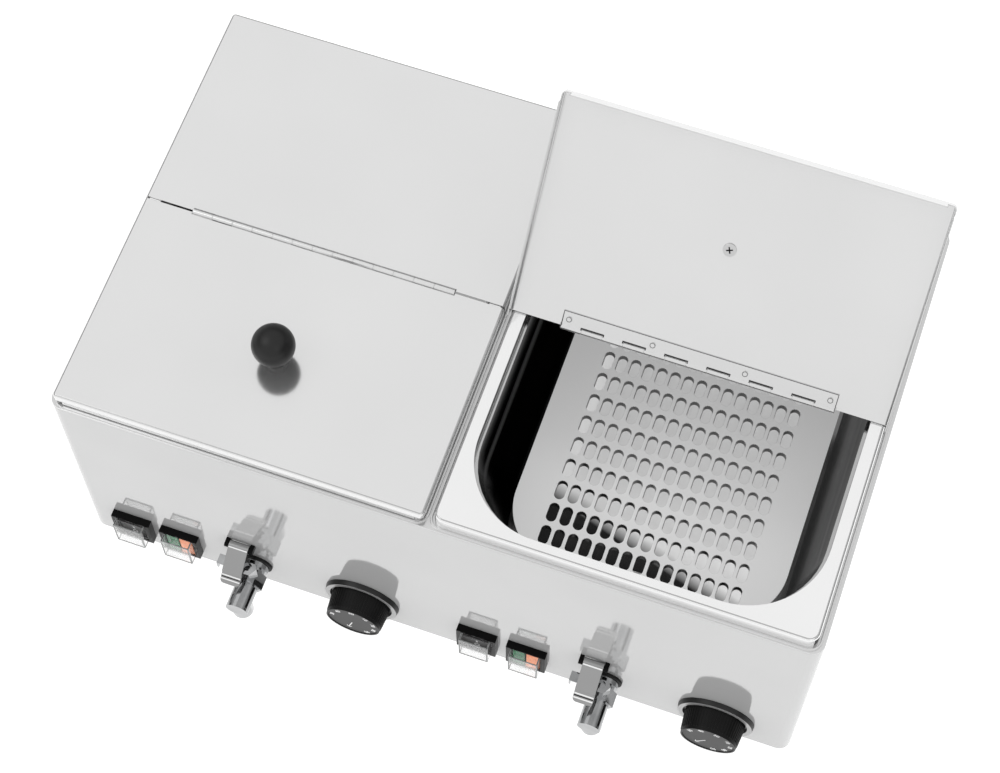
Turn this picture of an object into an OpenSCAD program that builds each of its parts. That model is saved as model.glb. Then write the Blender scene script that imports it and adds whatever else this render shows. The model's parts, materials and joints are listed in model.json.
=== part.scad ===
// Hot dog steamer with two water wells, millimetres, Z up.
// Origin: on the table, under the middle of the space that the housing, its
// spouts and its cable gland take up. The front faces -Y.
// The two wells are alike: each has its own basin, lid, tray and controls.

/* [Housing] */
// Gap between the collars of the two wells
well_gap = 1; // [0.6:0.1:20]
// Width of the deck beside the collars
side_margin = 2.3; // [2:0.1:40]
// Depth of the deck before and behind the collars
front_margin = 0.9; // [0.8:0.1:40]
// Height of the housing without its feet
housing_h = 209; // [180:1:260]
// Radius of the upright corners
corner_r = 9; // [4:0.5:18]
// Thickness of the housing sheet
sheet_t = 1; // [0.8:0.1:1.5]
// Height of the feet
foot_h = 13; // [8:1:30]
// Diameter of a foot
foot_dia = 30; // [20:1:40]

/* [Basin] */
// Width of the basin over its flange
basin_w = 264; // [240:0.5:320]
// Depth of the basin over its flange, front to back
basin_d = 324; // [290:0.5:380]
// Height of the flange above the deck
flange_h = 11.7; // [9:0.1:16]
// Width of the flange beside the mouth
flange_side = 10; // [8:0.1:16]
// Width of the flange before and behind the mouth
flange_front = 7.7; // [7:0.1:16]
// Corner radius of the mouth
mouth_r = 58; // [40:1:62]
// How far each side wall leans in
side_lean = 19.5; // [12:0.5:26]
// How far the front and back walls lean in
front_lean = 23.3; // [14:0.1:30]
// Corner radius of the floor
floor_r = 46; // [34:1:54]
// Height of the basin floor above the housing's lower edge
floor_up = 70.7; // [62:0.1:90]
// Sheet thickness of the basin
basin_t = 0.8; // [0.6:0.1:1]

/* [Tray] */
// Gap beside the perforated tray at the basin's floor
tray_side_gap = 2.5; // [1:0.1:8]
// Gap before and behind the tray at the basin's floor
tray_front_gap = 3; // [1:0.1:8]
// Height of the tray above the basin floor
tray_lift = 45; // [30:1:60]
// Sheet thickness of the tray
tray_t = 1; // [0.8:0.1:1.5]
// Width of a slot
slot_w = 7.5; // [5:0.1:8]
// Length of a slot
slot_length = 14.8; // [10:0.1:16]
// Distance between slot columns
slot_pitch_x = 10; // [9:0.5:14]
// Distance between slot rows
slot_pitch_y = 18; // [17:0.5:24]

/* [Lids] */
// Sheet thickness of the lids
lid_t = 0.7; // [0.6:0.1:1]
// Gap between the two halves of a lid
lid_split = 1.4; // [1.2:0.1:2]
// How far the open lid is turned back
open_angle = 130.6; // [90:0.1:135]
// Length of the lid hinge
hinge_length = 194; // [150:1:200]
// Diameter of the hinge barrel
barrel_dia = 4.3; // [4:0.1:5]
// Diameter of the hinge pin
hinge_pin_dia = 2.4; // [2:0.1:2.6]
// Distance of the lid knob from the hinge
lid_knob_y = 88.3; // [60:0.1:110]
// Diameter of the ball knob
ball_dia = 30; // [24:1:40]

/* [Controls] */
// Width of a switch frame
frame_w = 30; // [26:0.5:34]
// Height of a switch frame
frame_h = 31; // [27:0.5:36]
// How far the frame stands off the panel
frame_out = 5.8; // [4:0.1:8]
// How far the clear splash cover stands off the panel
cover_out = 12; // [10:0.1:16]
// Height of the switches' middle above the housing's lower edge
switch_up = 27.2; // [24:0.1:40]
// Diameter of the thermostat knob at its foot
knob_dia = 44.7; // [36:0.1:54]
// How much the knob's radius tapers towards its face
knob_taper = 1.85; // [1:0.05:3]
// How far the knob's face stands off the panel
knob_out = 20.4; // [16:0.2:30]
// Width of the ring round the knob
ring_wall = 4.5; // [3:0.1:6]
// Thickness of the ring round the knob
ring_t = 4; // [2:0.1:6]

/* [Drain tap] */
// Height of the tap's axis above the housing's lower edge
tap_up = 30; // [26:0.5:34]
// Outer diameter of the tap's spout
spout_dia = 17; // [15:0.5:19]
// How far the spout stands off the panel
spout_out = 40; // [36:0.5:60]
// Length of the tap's lever
lever_length = 29; // [26:0.5:34]
// Slope of the left tap's lever
left_slope = 38; // [28:1:38]
// Slope of the right tap's lever
right_slope = 31; // [28:1:38]

/* [Hidden] */
$fn = 48;
// Overrun of the cuts, and the gaps between pieces
cut = 1;
hair = 0.1;
clear = 0.3;
run_fit = 0.05;
seat_gap = 0.2;
hole_gap = 0.4;

// Basin
mouth_w = basin_w - 2*flange_side;
mouth_d = basin_d - 2*flange_front;
floor_w = mouth_w - 2*side_lean;
floor_d = mouth_d - 2*front_lean;
flange_r = 8;
flange_edge = 2.4;
neck_h = 8;
neck_step = 2.5;
floor_round = 10;

// Lids: two plates with folded rims, cut away round the hinge
lid_seat = 0.45;
lid_half_w = basin_w/2 + clear + lid_t;
lid_half_d = basin_d/2 + clear + lid_t;
lid_corner_r = 3;
lid_edge = 2;
lid_skirt_up = 1.2;
lid_corner_cut = 6.5;

// Deck with a raised collar round each basin
deck_t = 1.2;
collar_gap = 0.4;
collar_w = 1.4;
collar_h = 1.8;
collar_r = 8;
neck_gap = 1.2;
collar_in_w = lid_half_w + collar_gap;
collar_in_d = lid_half_d + collar_gap;

// Housing
unit_pitch = 2*(collar_in_w + collar_w) + well_gap;
half_w = unit_pitch/2 + collar_in_w + collar_w + side_margin;
half_d = collar_in_d + collar_w + front_margin;
panel_y = -half_d;
deck_z = foot_h + housing_h;
flange_z = deck_z + flange_h;
floor_z = foot_h + floor_up;
lid_bottom_z = flange_z + lid_seat;
lid_top_z = lid_bottom_z + lid_t;
base_t = 1.2;
rear_return = 20;
rear_fold = 10;
vent_w = 60;
vent_h = 3;
vent_pitch = 9;
vent_rows = 6;

// Feet
foot_edge = 15;
foot_taper = 4;
foot_stud_r = 3;
foot_stud_h = 9;
foot_x = half_w - foot_dia/2 - foot_edge;
foot_y = half_d - foot_dia/2 - foot_edge;

// Screws of the rear panel: two uprights of three
screw_r = 2;
screw_head_r = 3.8;
screw_head_h = 1.8;
screw_head_round = 0.8;
screw_length = 6;
screw_inset = 5;
screw_rows = 3;
screw_places = [
    for (side = [-1, 1], row = [0 : screw_rows - 1])
        [side*(half_w - rear_return + screw_inset), foot_h + housing_h*(1 + 2*row)/(2*screw_rows)]
];

// Cable gland and terminal block
gland_inset = 72.4;
gland_x = -(half_w - gland_inset);
gland_up = 28;
gland_z = foot_h + gland_up;
gland_r = 8;
gland_taper = 1;
gland_nut_r = 13;
gland_nut_t = 6;
gland_lock_t = 3;
gland_out = 18;
gland_in = 12;
cable_r = 4.5;
block_w = 60;
block_d = 22;
block_h = 18;
block_pitch = 12;
block_inset = 45.7;

// Places of the controls, as shares of the basin's width
control_shares = [-0.3777, -0.2341, -0.0087, 0.3068];
switch_x = control_shares[0]*basin_w;
indicator_x = control_shares[1]*basin_w;
tap_x = control_shares[2]*basin_w;
knob_x = control_shares[3]*basin_w;

// Switch and indicator
frame_side = 3.8;
frame_end = 1.55;
window_w = frame_w - 2*frame_side;
window_h = frame_h - 2*frame_end;
body_step = 1.5;
body_w = frame_w - 2*body_step;
body_h = frame_h - 2*body_step;
body_deep = 24;
switch_z = foot_h + switch_up;
lip = 1.5;
cup_deep = 10;
rocker_side = 1.1;
rocker_end = 1.2;
rocker_w = window_w - 2*rocker_side;
rocker_h = window_h - 2*rocker_end;
rocker_trim = 1.2;
rocker_out = 4.6;
rocker_axis_in = 2;
rocker_front = rocker_out + rocker_axis_in;
rocker_pivot_r = 1.5;
rocker_tilt = 8;
pivot_reach = 1.5;
valley_r = 60;
valley = 1;
divider = 1.1;
lens_side = 1.35;
lens_w = (window_w - divider)/2 - lens_side;
lens_out = 5;
cover_t = 0.8;

// Thermostat, its bulb, dial ring and knob
dial_gap = 1.65;
ring_dia = knob_dia + 2*(dial_gap + ring_wall);
ring_bevel = 0.8;
ring_floor = 0.8;
ring_up = 0.5;
knob_z = foot_h + ring_up + ring_dia/2;
knob_face_r = knob_dia/2 - knob_taper;
knob_back = 1.2;
knob_foot = 2.2;
knob_socket_deep = 12;
face_drop = 0.6;
face_rim = 1.2;
ridges = 60;
ridge_out = 0.35;
ridge_w = 0.9;
ridge_margin = 2.5;
bush_r = 5;
bush_out = 3;
spindle_r = 3;
spindle_in = 10;
spindle_end = knob_back + knob_foot + knob_socket_deep - run_fit;
thermo_w = 38;
thermo_h = 32;
thermo_deep = 26;
bulb_r = 3;
bulb_length = 90;
bulb_start = 70;
tube_r = 1;

// Heating element, its clamp and the safety cut-out under the basin floor
heater_r = 4;
heater_side = 52.5;
heater_front_inset = 93;
heater_back_inset = 35;
heater_half = floor_w/2 - heater_side;
heater_front = -(floor_d/2 - heater_front_inset);
heater_back = floor_d/2 - heater_back_inset;
heater_z = floor_z - basin_t - seat_gap - heater_r;
terminal_r = 2;
terminal_length = 14;
clamp_w = 14;
clamp_t = 2;
clamp_inset = 56;
clamp_y = heater_back - clamp_inset;
clamp_over = 14;
clamp_boss_r = 5;
cutout_r = 8;
cutout_h = 9;
cutout_inset = 60;
cutout_y = clamp_y - cutout_inset;
cutout_ear_w = 24;
cutout_ear_d = 6;
cutout_ear_t = 1;

// Drain: riser with its nut in the basin, pipe, nut, valve and spout
tap_z = foot_h + tap_up;
drain_inset = 23;
drain_y = -(floor_d/2 - drain_inset);
pipe_step = 1;
pipe_r = spout_dia/2 - pipe_step;
riser_step = 0.5;
riser_r = pipe_r + riser_step;
riser_end = 1;
riser_low = riser_r + riser_end;
riser_bore_low = 4;
spout_wall = 1.5;
bore_trim = 1.5;
drain_nut_r = 12;
drain_nut_h = 4;
drain_flange_r = 12;
drain_flange_h = 3;
hex_step = 1.5;
hex_flat = spout_dia/2 + hex_step;
hex_r = hex_flat/cos(30);
hex_from = 9;
hex_to = 20;
nut_t = 4;
nut_trim = 1;
gasket_rim = 1;
gasket_r = hex_r + gasket_rim;
gasket_t = 2;
outlet_drop = 9;
outlet_trim = 0.6;
stem_r = 6.9;
stem_top = 22;
stem_out = 13;
socket_r = 3.2;
socket_deep = 3;
ear_reach = 23;
ear_w = 7.5;
ear_t = 1.2;
ear_fold = 8;
ear_drop = 2;

// Lever of the tap and the black block that carries it
pivot_out = 3.9;
pivot_rise = 9;
pivot_side = 9;
pivot_z = tap_z + stem_top + pivot_rise;
pivot_x = tap_x - pivot_side;
pivot_r = 2.6;
pivot_length = 22;
lug_w = 3.2;
lever_w = 15;
lever_t = 1.2;
lever_trim = 0.3;
flap_length = 9;
joggle = 1.5;

// Hinge between the lid halves
hinge_drop = 0.22;
hinge_z = lid_top_z - hinge_drop;
leaf_t = 0.8;
leaf_reach = 12.5;
knuckles = 13;
knuckle_pitch = hinge_length/knuckles;
knuckle_gap = 0.3;
barrel_gap = 0.4;
rivet_dia = 4;
rivet_h = 0.9;
rivet_y = 6.8;
rivet_x_shares = [-0.475, -0.168, 0.168, 0.475];

// Ball knob of the lid and its screw
ball_stem_show = 7;
ball_up = ball_dia/2 + ball_stem_show;
ball_stem_r = 6;
ball_stem_foot = 1;
knob_screw_r = 2.5;
knob_screw_up = 14;
knob_screw_head_r = 4.6;
knob_screw_head_h = 1.2;

// Tray
tray_w = floor_w - 2*tray_side_gap;
tray_d = floor_d - 2*tray_front_gap;
tray_z = floor_z + tray_lift;
tray_leg_w = 104;
tray_leg_in = 8;
slot_edge = 20;
slot_cols = 2*floor((tray_w/2 - slot_edge)/slot_pitch_x) - 1;
slot_rows = 2*floor((tray_d/2 - slot_edge)/slot_pitch_y) + 1;

// Shared shapes

// A rectangle about the origin with round corners
module round_rect(w, d, r) {
    square([w - 2*r, d], center = true);
    square([w, d - 2*r], center = true);
    for (x = [-1, 1], y = [-1, 1])
        translate([x*(w/2 - r), y*(d/2 - r)]) circle(r);
}

// A round-cornered plate that starts at height z
module slab(w, d, r, z, t) {
    translate([0, 0, z]) linear_extrude(t) round_rect(w, d, r);
}

// A round-cornered plate whose top edge is round too
module soft_slab(w, d, r, z, t, edge) {
    hull() for (x = [-1, 1], y = [-1, 1])
        translate([x*(w/2 - r), y*(d/2 - r), z]) rotate_extrude($fn = 32) {
            square([r, t - edge]);
            square([r - edge, t]);
            translate([r - edge, t - edge]) intersection() {
                circle(edge, $fn = 32);
                square(edge);
            }
        }
}

// A block on the panel: x and z are its middle, from and to are measured off the panel
module panel_block(x, z, w, h, from, to) {
    translate([x, panel_y - (from + to)/2, z])
        cube([w, to - from, h], center = true);
}

// A round bar square to the panel, r1 at its inner end
module panel_rod(x, z, r1, r2, from, to) {
    translate([x, panel_y - from, z]) rotate([90, 0, 0])
        cylinder(r1 = r1, r2 = r2, h = to - from);
}

// A round bar square to the rear panel, from and to are measured off the housing's back
module rear_rod(x, z, r1, r2, from, to) {
    translate([x, half_d + from, z]) rotate([-90, 0, 0])
        cylinder(r1 = r1, r2 = r2, h = to - from);
}

// The housing's own middle lies behind the origin, because the spouts stand out
module middle() {
    translate([0, (spout_out - gland_out)/2, 0]) children();
}

module both_units() {
    for (side = [-1, 1]) translate([side*unit_pitch/2, 0, 0]) children();
}

module left() {
    middle() translate([-unit_pitch/2, 0, 0]) children();
}

module right() {
    middle() translate([unit_pitch/2, 0, 0]) children();
}

// Housing

module housing_shell() {
    color("lightgray") difference() {
        slab(2*half_w, 2*half_d, corner_r, foot_h, housing_h - deck_t);
        slab(2*(half_w - sheet_t), 2*(half_d - sheet_t), corner_r - sheet_t,
             foot_h - cut, housing_h + 2*cut);
        // The back is closed by the rear panel
        translate([-half_w + rear_return, half_d - sheet_t - cut, foot_h - cut])
            cube([2*(half_w - rear_return), sheet_t + 2*cut, housing_h + 2*cut]);
        both_units() panel_holes();
        rear_screw_holes();
    }
}

module rear_screw_holes() {
    for (place = screw_places)
        rear_rod(place[0], place[1], screw_r, screw_r, -2*sheet_t - cut, cut);
}

module panel_holes() {
    for (x = [switch_x, indicator_x])
        panel_block(x, switch_z, body_w + hole_gap, body_h + hole_gap, -sheet_t - cut, cut);
    panel_rod(tap_x, tap_z, pipe_r + hole_gap, pipe_r + hole_gap, -sheet_t - cut, cut);
    panel_rod(knob_x, knob_z, bush_r + hole_gap, bush_r + hole_gap, -sheet_t - cut, cut);
}

module rear_panel() {
    rear_half = half_w - rear_return + rear_fold;
    color("silver") difference() {
        translate([-rear_half, half_d - 2*sheet_t, foot_h + base_t + clear])
            cube([2*rear_half, sheet_t, housing_h - base_t - 2*clear - deck_t]);
        both_units() for (row = [0 : vent_rows - 1])
            translate([-vent_w/2, half_d - 2*sheet_t - cut,
                       foot_h + housing_h/2 + row*vent_pitch])
                cube([vent_w, sheet_t + 2*cut, vent_h]);
        rear_rod(gland_x, gland_z, gland_r + run_fit, gland_r + run_fit, -2*sheet_t - cut, cut);
        rear_screw_holes();
    }
}

module base_plate() {
    color("silver") difference() {
        slab(2*(half_w - sheet_t - clear), 2*(half_d - sheet_t - clear),
             corner_r - sheet_t, foot_h, base_t);
        for (x = [-1, 1], y = [-1, 1])
            translate([x*foot_x, y*foot_y, foot_h - cut])
                cylinder(r = foot_stud_r + run_fit, h = base_t + 2*cut);
        both_units() for (row = [0 : vent_rows - 1])
            translate([-vent_w/2, row*vent_pitch, foot_h - cut])
                cube([vent_w, vent_h, base_t + 2*cut]);
    }
}

module feet() {
    color("dimgray") for (x = [-1, 1], y = [-1, 1])
        translate([x*foot_x, y*foot_y, 0]) {
            cylinder(d1 = foot_dia - foot_taper, d2 = foot_dia, h = foot_h);
            translate([0, 0, foot_h - cut]) cylinder(r = foot_stud_r, h = foot_stud_h + cut);
        }
}

module panel_screws() {
    color("gray") for (place = screw_places) {
        rear_rod(place[0], place[1], screw_head_r, screw_head_r - screw_head_round,
                 0, screw_head_h);
        rear_rod(place[0], place[1], screw_r - run_fit, screw_r - run_fit, -screw_length, cut);
    }
}

module top_deck() {
    color("whitesmoke") difference() {
        union() {
            slab(2*half_w, 2*half_d, corner_r, deck_z - deck_t, deck_t);
            both_units() collar();
        }
        both_units()
            slab(mouth_w + 2*(basin_t + neck_gap), mouth_d + 2*(basin_t + neck_gap),
                 mouth_r + basin_t + neck_gap, deck_z - deck_t - cut, deck_t + 2*cut);
    }
}

module collar() {
    difference() {
        slab(2*(collar_in_w + collar_w), 2*(collar_in_d + collar_w), collar_r + collar_w,
             deck_z - deck_t/2, deck_t/2 + collar_h);
        slab(2*collar_in_w, 2*collar_in_d, collar_r, deck_z, collar_h + cut);
    }
}

// Basin: flange with its skirt, straight neck, leaning walls and floor

module well(grow, lower) {
    wall = 2*grow;
    low_z = floor_z + floor_round - lower;
    neck_z = flange_z - neck_h - lower;
    slab(mouth_w + wall, mouth_d + wall, mouth_r + grow, neck_z, neck_h + lower);
    hull() {
        slab(mouth_w - 2*neck_step + wall, mouth_d - 2*neck_step + wall,
             mouth_r + grow - neck_step, neck_z, hair);
        slab(floor_w + wall, floor_d + wall, floor_r + grow, low_z, hair);
    }
    hull() {
        slab(floor_w + wall, floor_d + wall, floor_r + grow, low_z, hair);
        slab(floor_w + wall - 2*floor_round, floor_d + wall - 2*floor_round,
             floor_r + grow - floor_round, floor_z - lower, hair);
    }
}

module basin() {
    color("gainsboro") {
        difference() {
            soft_slab(basin_w, basin_d, flange_r, deck_z, flange_h, flange_edge);
            soft_slab(basin_w - 2*basin_t, basin_d - 2*basin_t, flange_r - basin_t, deck_z - cut,
                      flange_h - basin_t + cut, flange_edge - basin_t);
            slab(mouth_w, mouth_d, mouth_r, flange_z - flange_h/2, flange_h);
        }
        difference() {
            well(basin_t, basin_t);
            well(0, 0);
            slab(mouth_w, mouth_d, mouth_r, flange_z - cut, 2*cut);
            translate([tap_x, drain_y, floor_z - basin_t - cut])
                cylinder(r = riser_r + run_fit, h = basin_t + 2*cut);
        }
    }
}

// Tray with rows of slots, on two folded legs

module slot() {
    square([slot_w, slot_length - slot_w], center = true);
    for (end = [-1, 1]) translate([0, end*(slot_length - slot_w)/2]) circle(slot_w/2, $fn = 24);
}

module tray() {
    color("lightgray") {
        translate([0, 0, tray_z - tray_t]) linear_extrude(tray_t) difference() {
            round_rect(tray_w, tray_d, floor_r);
            for (col = [1 : slot_cols], row = [1 : slot_rows])
                translate([(col - (slot_cols + 1)/2)*slot_pitch_x,
                           (row - (slot_rows + 1)/2)*slot_pitch_y])
                    slot();
        }
        for (end = [-1, 1])
            translate([0, end*(tray_d/2 - tray_leg_in - tray_t/2), floor_z + tray_lift/2])
                cube([tray_leg_w, tray_t, tray_lift], center = true);
    }
}

// Under the basin floor

module heater() {
    bar = heater_back - heater_front;
    color("dimgray") {
        for (side = [-1, 1])
            translate([side*heater_half, heater_front, heater_z]) rotate([-90, 0, 0]) {
                cylinder(r = heater_r, h = bar);
                cylinder(r = terminal_r, h = bar + terminal_length);
            }
        translate([0, heater_front, heater_z]) rotate([0, 0, 180])
            rotate_extrude(angle = 180) translate([heater_half, 0]) circle(heater_r, $fn = 24);
    }
}

module heater_clamps() {
    top = heater_z - heater_r - seat_gap;
    color("silver") both_units() {
        translate([0, clamp_y, top - clamp_t/2])
            cube([2*(heater_half + clamp_over), clamp_w, clamp_t], center = true);
        translate([0, clamp_y, top - cut])
            cylinder(r = clamp_boss_r, h = floor_z - basin_t - top + cut);
    }
}

module safety_cutouts() {
    low = floor_z - basin_t - seat_gap - cutout_h;
    color("ivory") both_units() {
        translate([0, cutout_y, low]) cylinder(r = cutout_r, h = cutout_h);
        translate([0, cutout_y, low + cutout_ear_t/2])
            cube([cutout_ear_w, cutout_ear_d, cutout_ear_t], center = true);
    }
}

module drain_nuts() {
    color("silver") both_units() translate([tap_x, drain_y, floor_z]) difference() {
        cylinder(r = drain_nut_r, h = drain_nut_h, $fn = 6);
        translate([0, 0, -cut]) cylinder(r = riser_r + run_fit, h = drain_nut_h + 2*cut);
    }
}

// Thermostat, its spindle, dial ring and knob

module thermostat() {
    back = -sheet_t - seat_gap;
    rise_z = floor_z - basin_t - seat_gap - bulb_r;
    tube_y = panel_y - back + thermo_deep/2;
    color("tan") {
        difference() {
            union() {
                panel_block(knob_x, knob_z, thermo_w, thermo_h, back - thermo_deep, back);
                panel_rod(knob_x, knob_z, bush_r, bush_r, back - cut, bush_out - seat_gap);
            }
            panel_rod(knob_x, knob_z, spindle_r + run_fit, spindle_r + run_fit,
                      back - spindle_in - cut, bush_out + cut);
        }
        // Thin tube from the body up to the bulb under the floor
        translate([knob_x, tube_y, knob_z]) cylinder(r = tube_r, h = rise_z - knob_z);
        translate([knob_x, tube_y, rise_z]) sphere(tube_r, $fn = 24);
        translate([knob_x, tube_y, rise_z]) rotate([-90, 0, 0]) {
            cylinder(r = tube_r, h = bulb_start);
            translate([0, 0, bulb_start - cut]) cylinder(r = bulb_r, h = bulb_length + cut);
        }
    }
}

module spindle() {
    color("gray")
        panel_rod(knob_x, knob_z, spindle_r, spindle_r, -sheet_t - seat_gap - spindle_in,
                  spindle_end);
}

module dial_ring() {
    color("black") difference() {
        panel_rod(knob_x, knob_z, ring_dia/2, ring_dia/2 - ring_bevel, 0, ring_t);
        panel_rod(knob_x, knob_z, bush_r + hole_gap, bush_r + hole_gap, -cut, ring_t + cut);
        panel_rod(knob_x, knob_z, knob_dia/2 + dial_gap, knob_dia/2 + dial_gap,
                  ring_floor, ring_t + cut);
    }
}

// One ridge of the knob's grip, on the cone at angle turn
module knob_ridge(turn) {
    grip = knob_out - knob_back - 2*ridge_margin;
    translate([knob_x, panel_y - (knob_back + knob_out)/2, knob_z]) rotate([0, turn, 0])
        translate([(knob_dia/2 + knob_face_r)/2, 0, 0])
            rotate([0, 0, -atan(knob_taper/(knob_out - knob_back))])
                cube([2*ridge_out, grip, ridge_w], center = true);
}

module knob() {
    face_r = knob_face_r - face_rim;
    color("#1c1c1c") difference() {
        union() {
            panel_rod(knob_x, knob_z, knob_dia/2, knob_face_r, knob_back, knob_out);
            for (i = [0 : ridges - 1]) knob_ridge(i*360/ridges);
        }
        panel_rod(knob_x, knob_z, spindle_r + run_fit, spindle_r + run_fit, 0, spindle_end);
        panel_rod(knob_x, knob_z, bush_r + hole_gap, bush_r + hole_gap, 0, knob_back + knob_foot);
        panel_rod(knob_x, knob_z, face_r, face_r, knob_out - face_drop, knob_out + cut);
    }
}

// Switch with its rocker, indicator with its two lenses, and their clear covers

module frame_body(x) {
    panel_block(x, switch_z, frame_w, frame_h, 0, frame_out);
    panel_block(x, switch_z, body_w, body_h, -body_deep, cut);
}

module frame_window(x) {
    panel_block(x, switch_z, window_w, window_h, frame_out - lip, frame_out + cut);
}

// The rocker's own place, at its axis
module at_rocker() {
    translate([switch_x, panel_y + rocker_axis_in, switch_z]) children();
}

module switch() {
    color("black") difference() {
        frame_body(switch_x);
        frame_window(switch_x);
        panel_block(switch_x, switch_z, rocker_w + 2*clear, rocker_h + 2*clear,
                    -cup_deep, frame_out + cut);
        at_rocker() rotate([0, 90, 0])
            cylinder(r = rocker_pivot_r + run_fit, h = rocker_w + 2*(pivot_reach + run_fit),
                     center = true);
    }
}

module rocker() {
    color("#2a2a2a") at_rocker() rotate([rocker_tilt, 0, 0]) {
        difference() {
            translate([0, (rocker_pivot_r - rocker_front)/2, 0])
                cube([rocker_w, rocker_front + rocker_pivot_r, rocker_h - rocker_trim], center = true);
            // The face is a shallow hollow
            translate([0, -rocker_front - valley_r + valley, 0]) rotate([0, 90, 0])
                cylinder(r = valley_r, h = rocker_w + 2*cut, center = true, $fn = 96);
        }
        rotate([0, 90, 0])
            cylinder(r = rocker_pivot_r, h = rocker_w + 2*pivot_reach, center = true);
    }
}

module clear_cover(x) {
    color("white", 0.4) difference() {
        panel_block(x, switch_z, window_w - 2*run_fit, window_h - 2*run_fit,
                    frame_out - lip, cover_out);
        panel_block(x, switch_z, window_w - 2*cover_t, window_h - 2*cover_t,
                    frame_out - lip - cut, cover_out - cover_t);
    }
}

module switch_cover() {
    clear_cover(switch_x);
}

module indicator() {
    color("black") difference() {
        frame_body(indicator_x);
        frame_window(indicator_x);
        for (side = [-1, 1])
            panel_block(indicator_x + side*(lens_w + divider)/2, switch_z, lens_w + 2*run_fit,
                        rocker_h + 2*run_fit, -cup_deep, frame_out + cut);
    }
}

module lens(side) {
    panel_block(indicator_x + side*(lens_w + divider)/2, switch_z, lens_w, rocker_h,
                -cup_deep + run_fit, lens_out);
}

module green_lens() {
    color("seagreen") lens(-1);
}

module orange_lens() {
    color("orange") lens(1);
}

module indicator_cover() {
    clear_cover(indicator_x);
}

// Drain tap: riser from the basin floor, pipe, nut, valve and the spout that turns down

module tap_body() {
    bore_r = spout_dia/2 - spout_wall - bore_trim;
    outlet_r = spout_dia/2 - outlet_trim;
    outlet_y = panel_y - spout_out + spout_dia/2;
    nut_r = hex_r - nut_trim;
    ear_y = panel_y - stem_out - ear_w/2;
    ear_z = tap_z + stem_top - ear_drop;
    color("#c8ccd0") difference() {
        union() {
            panel_rod(tap_x, tap_z, spout_dia/2, spout_dia/2, gasket_t + nut_t, spout_out);
            panel_rod(tap_x, tap_z, pipe_r, pipe_r, panel_y - drain_y, gasket_t + nut_t + cut);
            panel_rod(tap_x, tap_z, nut_r, nut_r, gasket_t, gasket_t + nut_t);
            // Valve, one flat up
            translate([tap_x, panel_y - hex_from, tap_z]) rotate([90, 0, 0])
                cylinder(r = hex_r, h = hex_to - hex_from, $fn = 6);
            // Stem housing on top of the valve
            translate([tap_x, panel_y - stem_out, tap_z]) cylinder(r = stem_r, h = stem_top, $fn = 6);
            // Ear to the left of the stem, folded down at its end
            translate([tap_x - ear_reach, ear_y, ear_z - ear_t]) cube([ear_reach, ear_w, ear_t]);
            translate([tap_x - ear_reach, ear_y, ear_z - ear_fold]) cube([ear_t, ear_w, ear_fold]);
            translate([tap_x, outlet_y, tap_z - spout_dia/2 - outlet_drop])
                cylinder(r = outlet_r, h = spout_dia/2 + outlet_drop);
            // Riser through the basin floor, with a flange under it
            translate([tap_x, drain_y, tap_z - riser_low])
                cylinder(r = riser_r, h = floor_z + drain_nut_h - tap_z + riser_low);
            translate([tap_x, drain_y, floor_z - basin_t - drain_flange_h - seat_gap])
                cylinder(r = drain_flange_r, h = drain_flange_h);
        }
        panel_rod(tap_x, tap_z, bore_r, bore_r, panel_y - drain_y - riser_r/2,
                  spout_out - 2*spout_wall);
        translate([tap_x, drain_y, tap_z - riser_bore_low])
            cylinder(r = riser_r - spout_wall, h = floor_z);
        translate([tap_x, outlet_y, tap_z - spout_dia - outlet_drop])
            cylinder(r = outlet_r - spout_wall, h = spout_dia + outlet_drop - spout_wall);
        translate([tap_x, panel_y - stem_out, tap_z + stem_top - socket_deep])
            cylinder(r = socket_r, h = socket_deep + cut);
    }
}

module tap_gaskets() {
    color("black") both_units() difference() {
        panel_rod(tap_x, tap_z, gasket_r, gasket_r, 0, gasket_t);
        panel_rod(tap_x, tap_z, pipe_r + hole_gap, pipe_r + hole_gap, -cut, gasket_t + cut);
    }
}

module tap_pivot() {
    color("black") {
        translate([pivot_x, panel_y - pivot_out, pivot_z]) rotate([0, 90, 0])
            cylinder(r = pivot_r - run_fit, h = pivot_length, center = true);
        for (side = [-1, 1])
            panel_block(pivot_x + side*(pivot_length - lug_w)/2, pivot_z, lug_w, 2*pivot_r,
                        0, pivot_out);
    }
}

// Lever: an eye on the pivot and a strip with a step down to its flap
module tap_lever(slope) {
    strip_low = pivot_r - run_fit;
    color("darkgray") translate([pivot_x, panel_y - pivot_out, pivot_z]) rotate([slope, 0, 0])
        difference() {
            union() {
                rotate([0, 90, 0])
                    cylinder(r = pivot_r + lever_t - lever_trim, h = lever_w, center = true);
                translate([-lever_w/2, -lever_length + flap_length, strip_low])
                    cube([lever_w, lever_length - flap_length, lever_t]);
                translate([-lever_w/2, -lever_length, strip_low - joggle])
                    cube([lever_w, flap_length + lever_t, lever_t]);
                translate([-lever_w/2, -lever_length + flap_length, strip_low - joggle])
                    cube([lever_w, lever_t, joggle + lever_t]);
            }
            rotate([0, 90, 0]) cylinder(r = pivot_r, h = lever_w + 2*cut, center = true);
        }
}

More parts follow.
